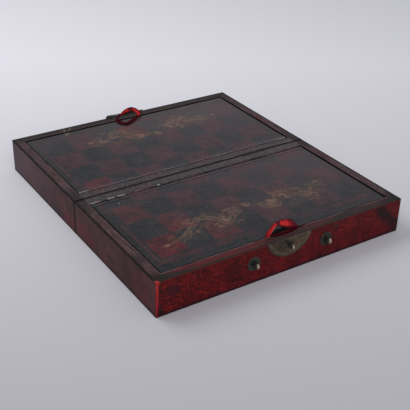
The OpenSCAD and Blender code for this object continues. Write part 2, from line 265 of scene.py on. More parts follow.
def side_face(s, blotch, speckle, fine, upright):
    """Left and right faces: mauve-brown with red patches low down, hazier to the back"""
    patches = s.spot(s.y, s.z, (-32, 14, 26, 15), (14, 9, 15, 13))
    patches = patches.max(s.spot(s.y, s.z, (-168, 22, 24, 20)) * 0.6)
    patches = patches.max(blotch.step(0.5, 0.66) * (s.z.step(36, 10) * 0.5 + 0.1))
    return s.coats(
        (30, 12.5, 13.5), (blotch.step(0.34, 0.66), (74, 23.5, 27)),
        (s.y.step(20, 190) * 0.6, (70, 49, 56)),
        (patches * speckle.step(0.25, 0.55) * 0.75, (90, 9.5, 13)),
        (fine.step(0.52, 0.7) * 0.3, (115, 70, 72)),
        (upright.step(0.52, 0.72) * 0.5, (18, 10, 11)))


def front_face(s, blotch, speckle):
    """Front and back faces: deep red with orange-red strokes, dark ticks, and stains on the front"""
    bands = s.noise((8, 60, 60), 3, 0.62, 13)
    strokes = s.noise((10, 3, 1.3), 4, 0.66, 14)
    ticks = s.noise((1.5, 1.5, 4.5), 3, 0.65, 15)
    left = s.x.step(-10, -130)
    bright = left * 0.45 + 0.26 + s.spot(s.x, s.z, (100, 37, 62, 12)) * 0.3
    bright = bright + s.spot(s.x, s.z, (-20, 8, 30, 12)) * 0.2
    here = s.y.step(10, -10)
    stain = s.spot(s.x + blotch * 10 - 5, s.z, (-159, 30, 10, 8)) * 0.75
    slope = abs((s.z - 43 + (s.x - 142) * 0.944) / 1.375 + blotch * 8 - 4)
    band = slope.step(11, 3) * s.x.step(128, 142) * blotch.step(0.25, 0.45)
    band = band.max(s.x.step(163, 176) * s.z.step(14, 4))
    edge = abs(s.x + 174.3).step(3.6, 1.2) * s.noise((4, 4, 10), 3, 0.6, 16).step(0.32, 0.52)
    return s.coats(
        (52, 4.2, 5.6), (blotch.step(0.36, 0.64), (106, 5.8, 7.4)),
        (bands.step(0.46, 0.62) * 0.55, (28, 3.8, 5)),
        (strokes.step(0.47, 0.63) * blotch.step(0.26, 0.54) * bright, (270, 16, 11.8)),
        (speckle.step(0.54, 0.68) * 0.4, (170, 10, 16)),
        (bands.step(0.5, 0.4) * s.z.step(12, 3) * 0.5, (160, 9, 30)),
        (ticks.step(0.48, 0.6) * (left * 0.35 + 0.55), (22, 3.5, 4.5)),
        (stain * here * speckle.step(0.3, 0.56), (14, 8.5, 12)),
        (band * here * 0.8, (8.5, 6.2, 6.2)),
        (edge * here * 0.85, (12, 9.5, 6.5)))


def wall_material(name, along, outer):
    """Lacquered wall: its outer face, rim, worn edges and bare inside. along is the axis of its length."""
    s = Shade(name)
    top, bottom, corner, inner, side = edges(s)
    streak = s.noise((34, 2.2, 2.2) if along == "x" else (2.2, 34, 2.2), 4, 0.62, 1)
    fine = s.noise((9, 0.7, 0.7) if along == "x" else (0.7, 9, 0.7), 3, 0.6, 2)
    blotch = s.noise(30, 4, 0.62, 5, warp=0.4)
    speckle = s.noise(2.6, 3, 0.65, 6)
    on_top = s.nz.step(0.5, 0.8)
    seam_side = abs(s.ny).step(0.5, 0.8) * abs(s.y).step(3, 2)
    hidden = s.nz.step(-0.5, -0.8).max(seam_side)
    face = s.coats(
        front_face(s, blotch, speckle) if outer
        else side_face(s, blotch, speckle, fine, s.noise((1.1, 1.1, 16), 3, 0.6, 4)),
        # the seam walls' faces darken towards the top: painted shade inside the seam gap
        (hidden, s.coats(plain_lacquer(s), (seam_side * s.z.step(34, 43) * 0.85, (7.5, 6, 6.2)))),
        (s.noise((26, 26, 14), 3, 0.6, 8).step(0.6, 0.72) * 0.6, (16, 7, 7)),
        # darker towards the bottom edge: painted contact shade where the box stands on the floor
        (bottom.step(6.5, 1.5) * 0.85, (14, 4.5, 7.5)))

    # The rim
    front = s.y.step(-150, -185)
    worn_off = s.noise((7, 4, 4), 4, 0.68, 17).step(0.42, 0.62)
    if outer:
        reach = side.step(5.6, 7.4).max(s.x.step(-150, -110) * side.step(2.4, 3.6))
        band = reach * side.step(13.6, 12.6) * corner.step(10, 40)
        tone = s.coats((84, 12, 13), (s.x.step(10, 90), (38, 17.5, 18.8)))
        rim = s.coats(
            (11, 9.5, 9), (fine.step(0.35, 0.7), (32, 20, 19.5)),
            (band * (streak.step(0.3, 0.56) * 0.7 + 0.25) * front, tone),
            (worn_off * 0.5 * front, (22, 14.5, 14.5)),
            (s.spot(s.x, s.y, (87, -198, 15, 6)) * speckle.step(0.2, 0.45) * 0.8, (17, 17.5, 15.5)),
            (side.step(2.4, 1.5) * 0.75, (12, 11, 10)),
            # darker rim round the front ribbon: partly tarnish, partly painted shade of the ribbon
            (s.spot(s.x, s.y, (2, -199, 40, 9)) * front * 0.7, (20, 15, 14)))
    else:
        rim = s.coats(
            (22, 16, 16.5), (streak.step(0.34, 0.6), (86, 50, 55)),
            (fine.step(0.5, 0.75) * 0.45, (30, 17, 18)),
            (worn_off * 0.5, (24, 18, 19)),
            (blotch.step(0.52, 0.66) * 0.4, (85, 18, 18)),
            (side.step(2.5, 1.7) * 0.9, (8.5, 6, 6)))
    rim = s.coats(
        rim, (corner.step(34, 8) * (front * 0.85).max(0.55), (10.5, 10, 9)),
        (0 if outer else abs(s.y).step(46, 14) * 0.7, (18, 16.5, 16)),
        # light pink line along the inner edge of the rim: partly wear, partly a painted highlight
        (inner.step(1.8, 0.5) * streak.step(0.34, 0.56) * (0.8 if outer else 0.4), (150, 85, 90)))

    # Edges: dark lines along the top, worn red lines, painted shade of the seam gap across the side faces, and the
    # front left corner worn to bright orange-red
    ragged = speckle * 1.5 + streak * 1.2
    upright_side = 1 - on_top
    if outer:
        trim = ((top.step(1.9, 0.5) * upright_side * ragged.step(0.9, 1.5) * 0.8, (160, 12.5, 11)),
                (top.step(4.2, 2.8) * top.step(1.4, 2.2) * upright_side * speckle.step(0.35, 0.55) * 0.55,
                 (18, 6, 6)))
    else:
        trim = ((top.step(2, 1) * (ragged.step(0.7, 1.2) * 0.3 + 0.7), (8.5, 6, 6)),
                # dark band across the side faces at the seam: painted shade of the seam gap
                (abs(s.y + 1.5).step(3.3, 2.2) * (1 - seam_side), (10, 2.4, 3.4)))
    tall = s.noise((2.2, 2.2, 7), 3, 0.6, 11)
    reach = corner * (abs(s.nx) * 1.4 + 1) + tall * 3 - s.z * 0.038 - s.z.step(41, 46) * 1.4
    front_left = s.x.step(-150, -160) * s.y.step(-150, -160)
    worn = reach.step(3.2, 2.1) * front_left
    tone = s.coats((280, 12, 26), (s.z.step(6, 44), (270, 21, 19)),
                   (tall.step(0.56, 0.66) * 0.35, (480, 130, 100)))
    chips = s.noise(1.5, 2, 0.6, 12).step(0.645, 0.7) * corner.min(top).step(2, 0.6)
    inside = side.step(11, 12) * upright_side * (1 - hidden)
    bare = inside * s.z.step(37.5, 35.5)
    color = s.coats(
        face, (on_top, rim), *trim, (worn, tone),
        (corner.step(1.5, 0.5) * (1 - front_left) * ragged.step(0.9, 1.6) * 0.7, (170, 14, 13)),
        (chips * 0.8, (230, 150, 95)), (inside, (5, 4, 4)), (bare, inside_wood(s)[0]))
    rough = 0.27 + fine * 0.18 + worn * 0.15 + bare * 0.5
    return s.finish(color, rough, fine * 0.35 + speckle * 0.3 + streak * 0.25 - chips * 0.5, 0.18,
                    0.08 if outer else 0.045)


def chequer(s):
    """Colour of the board at any height: field, frame lines and border, with mottling and wear"""
    px = s.x + (s.noise(8, 4, 0.65, 21) - 0.5) * 4.5
    py = s.y + (s.noise(8, 4, 0.65, 22) - 0.5) * 4.5
    back = py.step(0, 0.01)
    col = (px - FIELD_LEFT) / COL
    row = (py - FIELD_FRONT) / ROW_FRONT * (1 - back) + ((py - FIELD_BACK) / ROW_BACK + 8) * back
    even = (col * math.pi).sine() * (row * math.pi).sine()
    out_y = (FIELD_FRONT - py).max(py - FIELD_BACK)
    ring = (FIELD_LEFT - px).max(px - FIELD_RIGHT).max(out_y)
    red = even.step(-0.13, 0.15) * ring.step(1, -1.5)
    shade = s.node("TexWhiteNoise", s.vector(col.floor(), row.floor(), 0), noise_dimensions="3D")
    shade = Val(s, shade.outputs["Value"])
    mottle = s.noise(17, 4, 0.6, 23, warp=0.5)
    large = s.noise(60, 3, 0.6, 24)
    fine = s.noise((4.2, 2.4, 2.4), 4, 0.68, 25)
    # Grey bloom, heavier to the right and to the back: partly aged lacquer, partly a painted reflection haze
    deep = s.y.step(-170, -70) * 0.42 + 0.26 - s.y.step(0, 16) * s.y.step(150, 60) * 0.28
    bloom_and_haze = s.x.step(-160, 170) * deep + large.step(0.42, 0.64) * 0.12 + s.y.step(100, 175) * 0.34
    bloom_and_haze = (bloom_and_haze + s.span(s.y, (-42, 0), soft=8) * 0.14).clamp()
    ground = s.coats(
        (8, 11.5, 14), (mottle.step(0.34, 0.7), (16.5, 18, 21.5)),
        (bloom_and_haze, (48, 40, 45.5)))
    reds = mottle.step(0.28, 0.7)
    strong = s.coats((40, 7.5, 10.5), (reds, (104, 9.5, 14)))
    dull = s.coats((27, 15.2, 18), (reds, (53, 22.2, 26.2)), (bloom_and_haze * 0.55, (86, 48, 55)))
    left = s.x.step(-70, -135) * 0.28 + s.spot(s.x, s.y, (-110, -150, 110, 48)) * 0.5
    vivid = left + s.spot(s.x, s.y, (-18, 148, 26, 24)) * 0.4 + shade * 0.22 + (large - 0.5) * 0.6
    held = s.noise(24, 4, 0.65, 27, warp=0.4).step(0.34, 0.56) * 0.4 + 0.52
    # Faint wash left of the paint round each dragon
    wash = s.spot(s.x, s.y, (-74, -127, 62, 27), (58, -124, 60, 25), (-42, 138, 50, 24), (64, 141, 50, 24))
    smudge = s.noise((9, 16, 9), 4, 0.65, 28).step(0.36, 0.64)
    # Frame lines round the field
    lost = s.noise((30, 30, 30), 4, 0.65, 26)
    lines = abs(ring - 4.4).step(3.2, 0.8)
    second = abs(out_y - 9).step(2.2, 0.5) * ring.step(10.6, 9.8)
    border = ring.step(0.6, 3) * (1 - lines)
    color = s.coats(
        ground, (red * held, s.coats(dull, (vivid.step(0.1, 1.05), strong))),
        (wash * smudge * 0.34, (78, 48, 35.5)),
        (lines * lost.step(0.34, 0.6) * 0.66, (62, 19, 21)),
        (second * lost.step(0.4, 0.6) * 0.75, (70, 19, 20)),
        (border * mottle.step(0.42, 0.75) * 0.5, (28, 16.5, 17.5)),
        (fine.step(0.52, 0.7) * 0.46, (64, 44, 44)),
        (fine.step(0.47, 0.32) * 0.55, (4.5, 4.5, 5.5)))
    return color, mottle, fine


def board_material():
    s = Shade("board_lacquer")
    color, mottle, fine = chequer(s)
    rim_edge = (X_LID - abs(s.x)).min(Y_LID_OUT - abs(s.y))
    # The lid darkens right beside the rim: a painted shade of the gap between lid and rim
    rim_gap_shade = rim_edge + (s.noise((5, 5, 5), 3, 0.65, 31) - 0.5) * 1.2
    # Fine scratches, and a few chips down to the light ground
    scratch = s.noise((46, 0.5, 1), 2, 0.5, 32, warp=1.2).step(0.68, 0.75)
    scratch = scratch.max(s.noise((0.5, 60, 1), 2, 0.5, 33, warp=1).step(0.7, 0.76))
    chips = s.cells(38, seed=34).step(0.012, 0.007)
    below = s.z.step(45, 44.4)
    color = s.coats(
        color, (rim_gap_shade.step(1.7, 1), (3.5, 3, 3)),
        # dark spot where the front ribbon goes down into the gap: a painted shadow of the ribbon
        (s.spot(s.x, s.y, (4, -188, 15, 4.5)) * 0.9, (3, 3.4, 3)),
        (scratch * 0.35, (100, 80, 72)), (chips * 0.8, (360, 320, 270)),
        (below * s.nz.step(-0.4, -0.8), inside_wood(s)[0]))
    rough = 0.05 + s.noise((60, 18, 20), 3, 0.6, 35) * 0.1 + fine * 0.05 + below * 0.3
    return s.finish(color, rough, mottle * 0.3 + fine * 0.14 - scratch * 0.12 - chips * 0.4, 0.05, 0.16)


def cloth_material():
    """Cloth hinge under the lacquer: the board's colours, cracked along the fold to light threads"""
    s = Shade("cracked_cloth")
    color = chequer(s)[0]
    ay = abs(s.y)
    back = s.y.step(-1, 1)
    front = 1 - back
    weave = s.noise((0.8, 0.8, 0.8), 2, 0.5, 41)
    run = s.noise((7, 500, 500), 4, 0.75, 42)
    fleck = s.noise((2.6, 1.3, 3), 3, 0.7, 43)
    over = (s.noise(14, 4, 0.65, 44).step(0.3, 0.6) * 0.45 + 0.35) * ay.step(22, 15)
    patchy = s.noise((5, 3, 3), 4, 0.7, 46)
    dust = s.coats((10, 8.5, 9.5), (patchy.step(0.32, 0.68), (72, 60, 61)))
    shift = (fleck - 0.5) * 2.6 + (run - 0.5) * 2.2
    # Light threads along the frayed line and at the seam, thickest where the lacquer has gone
    fray = abs(ay - (front * FRAY["front"] + back * FRAY["back"]) - shift).step(1.7, 0.4)
    white = s.span(s.x, (-165, -150), (-140, -132), (-127, -117), (-68, -66)) * front
    white = white.max(s.span(s.x, (-32, -18)) * front * 0.6)
    white = white.max(s.span(s.x, (-165, -153), (46, 56), (148, 163)) * back * 0.5)
    red = (s.span(s.x, *RED_FRONT) * front).max(s.span(s.x, *RED_BACK) * back)
    faint = back * 1.02 + s.span(s.x, (-102, -90), (-57, -52), (142, 148)) * front * 0.75
    bare = fray * (white.max(faint) + (run - 0.5) * 1.6 + (fleck - 0.5) * 1.8).step(0.5, 1.25)
    seam_light = s.span(s.x, (-97, -92), (-74, -68), (49, 63), (153, 164)).max(0.35)
    seam_light = seam_light * ay.step(4, 2.6) * ay.step(0.2, 1)
    bare = bare.max(seam_light * back * (fleck + run * 0.5).step(0.7, 0.92) * 0.8)
    split = abs(ay - (front * CRACK["front"] + back * CRACK["back"]) - shift * 0.45).step(2.2, 1)
    # the crack along the fold and the seam line are dark: a real crack, with painted shade in it and in the seam
    # gap
    crack_and_shade = split.max(abs(s.y + 1.4).step(3.4, 1.6)) * 0.7
    threads = s.coats(
        (120, 94, 97), ((white * 1.2).clamp(), (270, 255, 258)),
        (red * (1 - white) * 0.6, (135, 50, 50)))
    color = s.coats(
        color, (over, dust), (crack_and_shade, s.coats((7, 6, 6.2), (red, (24, 7.5, 8)))),
        (bare * (1 - crack_and_shade * 0.7) * 0.95, threads))
    rough = (ay.step(20, 16) * 0.16 + 0.12) + weave * 0.1 + bare * 0.4 + crack_and_shade * 0.3
    return s.finish(color, rough, weave * 0.5 + fleck * 0.4 - crack_and_shade * 0.6 + bare * 0.4, 0.25, 0.2)


def crack_material():
    """Open crack in the lacquer, also laid along the seam gap: matt and near black, a painted shade of the depth
    below, dark red where the red lacquer goes down into it
    """
    s = Shade("open_crack_and_shade")
    grit = s.noise((2, 1, 1), 3, 0.65, 45)
    red = s.span(s.x, *RED_FRONT) * s.y.step(-12, -14) * s.y.step(-30, -24)
    red = red.max(s.span(s.x, *RED_BACK) * s.y.step(11, 13))
    loose = (grit.step(0.5, 0.68) * 0.5).max(abs(s.y).step(6, 4) * grit.step(0.3, 0.58) * 0.9)
    color = s.coats(
        (4.5, 3.5, 4), (red * 0.8, (34, 10.5, 11)),
        (loose * s.nz.step(0.3, 0.7), (56, 45, 46)), (s.nx.step(-0.3, -0.7), (28, 4.2, 6.8)))
    return s.finish(color, 0.85, grit, 0.2, 0)


def floor_wood_material():
    s = Shade("tray_wood")
    wood, grain = inside_wood(s)
    pores = s.noise((14, 0.6, 0.6), 3, 0.6, 51)
    under = s.nz.step(-0.5, -0.8) * s.z.step(2, 1)
    color = s.coats(wood, (pores.step(0.6, 0.72) * 0.5, (70, 36, 20)), (under, plain_lacquer(s)))
    return s.finish(color, 0.62 + grain * 0.2 - under * 0.3, grain * 0.5 + pores * 0.4, 0.25, 0.08)


# ---- metal

def brass_material(name, light, dark, marks, rough=0.36, metal=0.72, level=0.5):
    """Aged brass: patina over duller and brighter metal, pitted; marks(s) gives placed layers"""
    s = Shade(name)
    patina = s.noise(7, 4, 0.62, 61, warp=0.5)
    pits = s.noise(0.9, 3, 0.6, 62)
    brush = s.noise((6, 1.5, 0.7), 3, 0.6, 63)
    color = s.coats(
        dark, (patina.step(0.34, 0.66), light), (pits.step(0.6, 0.74) * 0.7, (14, 15, 11)),
        (brush.step(0.6, 0.74) * 0.4, tuple(c * 1.6 for c in light)), *marks(s))
    return s.finish(color, patina * 0.22 + (rough - 0.08), pits * 0.5 + brush * 0.3, 0.12, level, metal)


def plate_marks(s):
    """Lock plate: dark to the left and round the eye, lighter to the right, with a painted highlight along its
    lower arc
    """
    bared = s.z.step(Z_RIM + 0.5, Z_RIM + 1) * s.y.step(0, 1) * s.nz.step(0.5, 0.2)
    # the metal bared above the rim carries a near-white painted highlight
    metal = s.coats((330, 335, 320), (s.spot(s.x, s.z, (-14, 49.5, 6, 3)), (850, 850, 880)))
    r = (s.x * s.x + (s.z - PLATE_MIDDLE) * (s.z - PLATE_MIDDLE)).root()
    arc_highlight = abs(r - PLATE_RADIUS + 4.2).step(2.4, 0.6) * s.noise(6, 3, 0.6, 65).step(0.3, 0.6)
    return ((s.x.step(8, -16) * s.noise(9, 3, 0.6, 64).step(0.28, 0.52) * 0.6, (34, 24, 17)),
            (bared * 0.9, metal), (arc_highlight * 0.5, (185, 145, 85)),
            (r.step(PLATE_RADIUS - 1.6, PLATE_RADIUS - 0.6) * 0.5, (40, 32, 24)),
            (s.spot(s.x, s.z, (EYE.x + 1.4, EYE.z - 0.2, 5, 5)) * 0.9, (9, 7, 5)))


def rosette_marks(s):
    """Rosettes: dark round the post, a blue-grey ring and a lighter edge; the nails share the material"""
    left, right = ROSETTES
    u = abs(s.x - (left.x + right.x) / 2) - (right.x - left.x) / 2
    v = s.z - left.z
    r = (u * u + v * v).root()
    return ((r.step(5.6, 3) * 0.8, (10, 11, 11)),
            (abs(r - 7.9).step(1.4, 0.4) * 0.25, (110, 105, 85)),
            (s.noise(4, 2, 0.5, 66).step(0.5, 0.62) * 0.5, (30, 24, 17)))


def post_marks(s):
    """Posts and eye: dark at the foot, bright only where they are rubbed at the tip"""
    return (s.y.step(-212.9, -211.5) * s.y.step(0, -1) * 0.85, (30, 26, 20)),


def steel_material():
    s = Shade("dull_steel")
    brush = s.noise((0.6, 9, 9), 3, 0.6, 71)
    rust = s.noise(5, 4, 0.65, 72)
    chips = s.noise((2.4, 1.2, 1.2), 3, 0.65, 73)
    color = s.coats(
        (30, 27, 25), (rust.step(0.46, 0.66), (26, 14, 11)),
        (chips.step(0.58, 0.66) * 0.8, (150, 145, 130)))
    return s.finish(color, rust * 0.3 + 0.38, brush * 0.4 + rust * 0.4, 0.1, 0.2, 0.35)


MATERIALS = {
    "wall_x": wall_material("lacquer_front_back", "x", True),
    "wall_y": wall_material("lacquer_sides", "y", False),
    "seam": wall_material("lacquer_seam", "x", False),
    "board": board_material(),
    "cloth": cloth_material(),
    "crack_and_shade": crack_material(),
    "wood": floor_wood_material(),
    "plate": brass_material("plate_brass", (130, 92, 54), (52, 38, 26), plate_marks),
    "dark_brass": brass_material("rosette_brass", (58, 54, 48), (20, 19, 18), rosette_marks,
                                 metal=0.5, level=0.15),
    "post": brass_material("post_brass", (620, 550, 420), (240, 200, 145), post_marks, 0.26),
    "steel": steel_material(),
}


# The first of these words in the name of a CAD node decides its material
LOOKS = dict(
    outer_wall="wall_x", seam_wall="seam", left_wall="wall_y", right_wall="wall_y", cleat="wood", floor="wood",
    plate_nail="dark_brass", lid_board="board", ribbon_patch="cloth", lock_plate="plate", rosette="dark_brass",
    handle_post="post", hinge="steel", lock_eye="post", staple="dark_brass", hasp="plate")
for name, node in NODES.items():
    word = next((word for word in LOOKS if word in name), None)
    if word:
        node.data.materials.clear()
        node.data.materials.append(MATERIALS[LOOKS[word]])
        for polygon in node.data.polygons:
            polygon.material_index = 0


# ---- pieces

def put_in_scene(name, data):
    obj = bpy.data.objects.new(name, data)
    SCENE.collection.objects.link(obj)
    return obj


def new_object(name, verts, faces, material, smooth=True, solid=True, ride=None):
    """Mesh object from points in mm in the row frame"""
    mesh = bpy.data.meshes.new(name)
    mesh.from_pydata([tuple(c * MM for c in v) for v in verts], [], faces)
    mesh.validate()
    mesh.update()
    if solid:
        work = bmesh.new()
        work.from_mesh(mesh)
        bmesh.ops.recalc_face_normals(work, faces=work.faces)
        work.to_mesh(mesh)
        work.free()
    for polygon in mesh.polygons:
        polygon.use_smooth = smooth
    mesh.materials.append(material)
    obj = put_in_scene(name, mesh)
    if ride:
        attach(obj, ride)
    return obj


def tube(count, ring, first=0, order=None, closed=False):
    """Faces of a tube of count rings of points, which has ends unless it is closed to a loop"""
    order = order or list(range(ring))
    faces = []
    for k in range(count if closed else count - 1):
        a, b = first + k * ring, first + (k + 1) % count * ring
        faces += [(a + i, a + j, b + j, b + i) for i, j in zip(order, order[1:] + order[:1])]
    if not closed:
        last = first + (count - 1) * ring
        faces += [tuple(first + i for i in order), tuple(last + i for i in reversed(order))]
    return faces


def value_noise(seed):
    """Smooth random function of one number, the same on each run"""
    table = [random.Random(seed * 1000 + k).uniform(-1, 1) for k in range(512)]

    def sample(t):
        k = math.floor(t)
        f = ease(t - k)
        return table[k % 512] * (1 - f) + table[(k + 1) % 512] * f
    return sample


def ease(f):
    return f * f * (3 - 2 * f)


def polar(x, y, r, a):
    return x + r * math.cos(a), y + r * math.sin(a)


def catmull(points, count):
    """Smooth samples through control points, which are equal-length tuples"""
    out = []
    last = len(points) - 1
    for k in range(count):
        t = k / (count - 1) * last
        i = min(int(t), last - 1)
        f = t - i
        p = [points[max(0, min(last, i + d))] for d in (-1, 0, 1, 2)]
        out.append(tuple(
            0.5 * (2 * b + (c - a) * f + (2 * a - 5 * b + 4 * c - d) * f * f + (3 * b - a - 3 * c + d) * f * f * f)
            for a, b, c, d in zip(*p)))
    return out


# ---- the loose back plate

def worn_back_plate():
    """The back plate's own shape, with the part above the rim bent down and worn shorter to its left"""
    plate = put_in_scene("back_plate_worn", NODES["back_lock_plate"].data.copy())
    half_width = 33
    for vertex in plate.data.vertices:
        x, z = vertex.co.x / MM, vertex.co.z / MM
        over = max(0, z - (Z_RIM - 0.3))
        vertex.co.x = (x + 0.75 * over * max(0, -x / half_width) ** 3) * MM
        vertex.co.z = (z - over * 0.5) * MM
    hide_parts("back_lock_plate")
    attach(plate, "back_tray")


worn_back_plate()


# ---- cloth hinges

# Rows across the cloth, (share of the rows, distance from the seam): closer at the seam, fold and frayed line
ROWS = [(0.2, 4.4), (0.3, 11.6), (0.88, 20.4)]


def cloth_strip(half, sign):
    """One ragged strip of lacquered cloth over the seam wall's top and the hinge edge of the lid"""
    rag_seam, rag_lid, ridge = value_noise(sign + 5), value_noise(sign + 9), value_noise(sign + 14)
    cols, rows = 330, 46
    high = 0.12 if half == "front" else 0.4

    def spot(i, j):
        """Upper and lower point"""
        t, v = i / (cols - 1), j / (rows - 1)
        near = Y_SEAM + 0.1 + 0.7 * abs(rag_seam(t * 190)) + 0.8 * max(0, rag_seam(t * 37 + 9))
        far = CLOTH_END + 0.9 * rag_lid(t * 61) + 0.5 * rag_lid(t * 220 + 50)
        knots = [(0, near), *ROWS, (1, far)]
        k = sum(v >= knot[0] for knot in ROWS)
        (v0, y0), (v1, y1) = knots[k:k + 2]
        y = y0 + (y1 - y0) * (v - v0) / (v1 - v0)
        blend = ease(min(1, max(0, (y - (Y_INNER - 0.5)) / 1.4)))
        thread = math.exp(-((y - FRAY[half]) / 0.8) ** 2)
        knob = thread * high * (0.5 + 0.5 * ridge(t * 150) + 0.35 * ridge(t * 420 + 3))
        groove = math.exp(-((y - CRACK[half]) / 0.5) ** 2) * (0.16 + 0.1 * ridge(t * 90 + 60))
        z_top = (Z_RIM + 0.05) * (1 - blend) + (Z_LID + 0.42) * blend + knob - groove
        if j in (0, rows - 1):
            z_top -= 0.65 * 0.25
        x = (2 * t - 1) * (X_WALL * (1 - blend) + X_LID * blend)
        y = sign * (y + thread * 0.35 * ridge(t * 240 + 30))
        return (x, y, z_top), (x, y, (Z_RIM - 0.38) * (1 - blend) + (Z_LID + 0.02) * blend)

    spots = [spot(i, j) for i in range(cols) for j in range(rows)]
    at = lambda i, j, layer: layer * cols * rows + i * rows + j
    faces = []
    for i in range(cols - 1):
        for j in range(rows - 1):
            faces.append((at(i, j, 0), at(i + 1, j, 0), at(i + 1, j + 1, 0), at(i, j + 1, 0)))
            faces.append((at(i, j, 1), at(i, j + 1, 1), at(i + 1, j + 1, 1), at(i + 1, j, 1)))
    loop = [(i, 0) for i in range(cols - 1)] + [(cols - 1, j) for j in range(rows - 1)]
    loop += [(i, rows - 1) for i in range(cols - 1, 0, -1)] + [(0, j) for j in range(rows - 1, 0, -1)]
    for (a, b), (c, d) in zip(loop, loop[1:] + loop[:1]):
        faces.append((at(a, b, 0), at(a, b, 1), at(c, d, 1), at(c, d, 0)))
    piece = new_object(f"{half}_cloth_hinge", [top for top, _ in spots] + [low for _, low in spots], faces,
                       MATERIALS["cloth"])
    # Faces along the crack line and next to the seam take the near-black crack material: the crack, with painted
    # shade in it and in the seam gap
    piece.data.materials.append(MATERIALS["crack_and_shade"])
    wander, width = value_noise(sign + 21), value_noise(sign + 27)
    seam_reach, crack_reach = (2.1, 0.95) if half == "front" else (0.6, 1.25)
    for polygon in piece.data.polygons:
        x, y, _ = (c / MM for c in polygon.center)
        t = x / 3 + 200
        line = CRACK[half] + 0.5 * wander(t * 0.31) + 0.25 * wander(t * 1.3)
        wide = crack_reach + 0.5 * width(t * 0.8) + 0.35 * width(t * 0.17)
        seam = seam_reach + 0.8 * wander(t * 0.6 + 90) + 0.5 * width(t * 1.9 + 40)
        if polygon.normal.z > 0.2 and (abs(abs(y) - line) < wide or abs(y) < seam):
            polygon.material_index = 1
    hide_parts(f"{half}_wall_cloth", f"{half}_lid_cloth")
    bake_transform(piece)


cloth_strip("front", -1)
cloth_strip("back", 1)


# ---- ribbons

def satin_material(name, lit, dull, dim=1, level=0.13):
    """Red satin: fine ribs across the ribbon, painted shade along its edges and in creases, and painted highlights
    on crease ridges and in a sheen streak.
    lit and dull are ranges of x in mm where the ribbon faces the light, and where it turns away, painted lighter
    and darker. dim darkens every colour, for a strand painted as in shade."""
    s = Shade(name)
    u, v, _ = s.split(s.node("UVMap").outputs[0])
    tint = lambda *c: tuple(k * dim for k in c)
    ribs = (u * 2200).sine() * 0.5 + 0.5
    crease = s.noise((3, 3, 3), 3, 0.6, 81)
    along = s.noise((11, 2.2, 1), 3, 0.6, 83, at=s.vector(u * 1000, v * 8, 0))
    bright = s.span(s.x, *lit, soft=2.5) * 0.8 + 0.35 - s.span(s.x, *dull, soft=1.6) * 0.75
    edge = abs(v - 0.5 + (crease - 0.5) * 0.25).step(0.28, 0.46)
    body = abs(v - 0.45 + (along - 0.5) * 0.5).step(0.46, 0.05) * (along.step(0.3, 0.62) * 0.5 + 0.5)
    sheen = abs(v - 0.7 + (along - 0.5) * 0.3).step(0.13, 0.03) * s.span(s.x, (-19, -8)) * s.z.step(48, 50)
    color = s.coats(
        tint(88, 2.5, 7), ((body * bright * 1.2).clamp(), tint(470, 15, 15)),
        ((crease.step(0.54, 0.7) * bright * 0.45).clamp(), tint(620, 60, 50)),
        (crease.step(0.46, 0.32) * 0.6, tint(60, 2, 7)),
        (edge * (1.15 - bright * 0.5).clamp() * 0.9, tint(34, 1.5, 4)),
        (sheen * s.y.step(-100, -150) * 0.75, tint(660, 135, 190)))
    return s.finish(color, 0.38 + crease * 0.16, ribs * 0.2 + crease * 0.7 + along * 0.8 - edge * 0.5, 0.16, level)


MATERIALS["front_satin"] = satin_material("front_satin", [(-20, -8), (1, 10)], [(-4.4, -1.8), (17, 40)])
MATERIALS["back_satin"] = satin_material("back_satin", [(-10, 1), (11, 17)], [(-30, -15), (3.5, 8), (19.5, 30)])
# The strand under each loop: the same satin painted darker, as in shade, with hardly any shine
MATERIALS["shaded_under_satin"] = satin_material("shaded_under_satin", [(60, 61)], [(-40, 40)], 0.36, 0.02)


def satin_strip(name, half, controls, crown, material, count=150, loose=True):
    """Closed strip along control rows, each the point of one edge and the point of the other, in mm"""
    across, thick = 11, 0.4
    fold = value_noise(len(name))
    rows = [(Vector(point[:3]), Vector(point[3:])) for point in catmull(controls, count)]
    middles = [a + b for a, b in rows]
    verts, uvs = [], []
    run = 0
    for k, (a, b) in enumerate(rows):
        ahead = middles[min(k + 1, count - 1)] - middles[max(k - 1, 0)]
        out = (a - b).cross(ahead).normalized()
        run += (middles[k] - middles[k - 1]).length / 2 if k else 0
        inner = 1 if loose else min(1, 8 * k / count, 8 * (count - 1 - k) / count)
        for layer in (1, -1):
            for j in range(across):
                v = j / (across - 1)
                bow = crown * (1 - (2 * v - 1) ** 2)
                bow += 0.3 * fold(run * 0.16 + v * 2.3) * math.sin(v * 9 + run * 0.1)
                half_t = thick / 2 * (1 if 0 < j < across - 1 else 0.55)
                verts.append(a.lerp(b, v) + out * (bow * inner + layer * half_t))
                uvs.append((run * MM, v))
    order = list(range(across)) + list(range(2 * across - 1, across - 1, -1))
    piece = new_object(name, verts, tube(count, 2 * across, order=order), MATERIALS[material],
                       ride=f"{half}_lid")
    layer = piece.data.uv_layers.new(name="UVMap")
    for loop in piece.data.loops:
        layer.data[loop.index].uv = uvs[loop.vertex_index]
    return piece


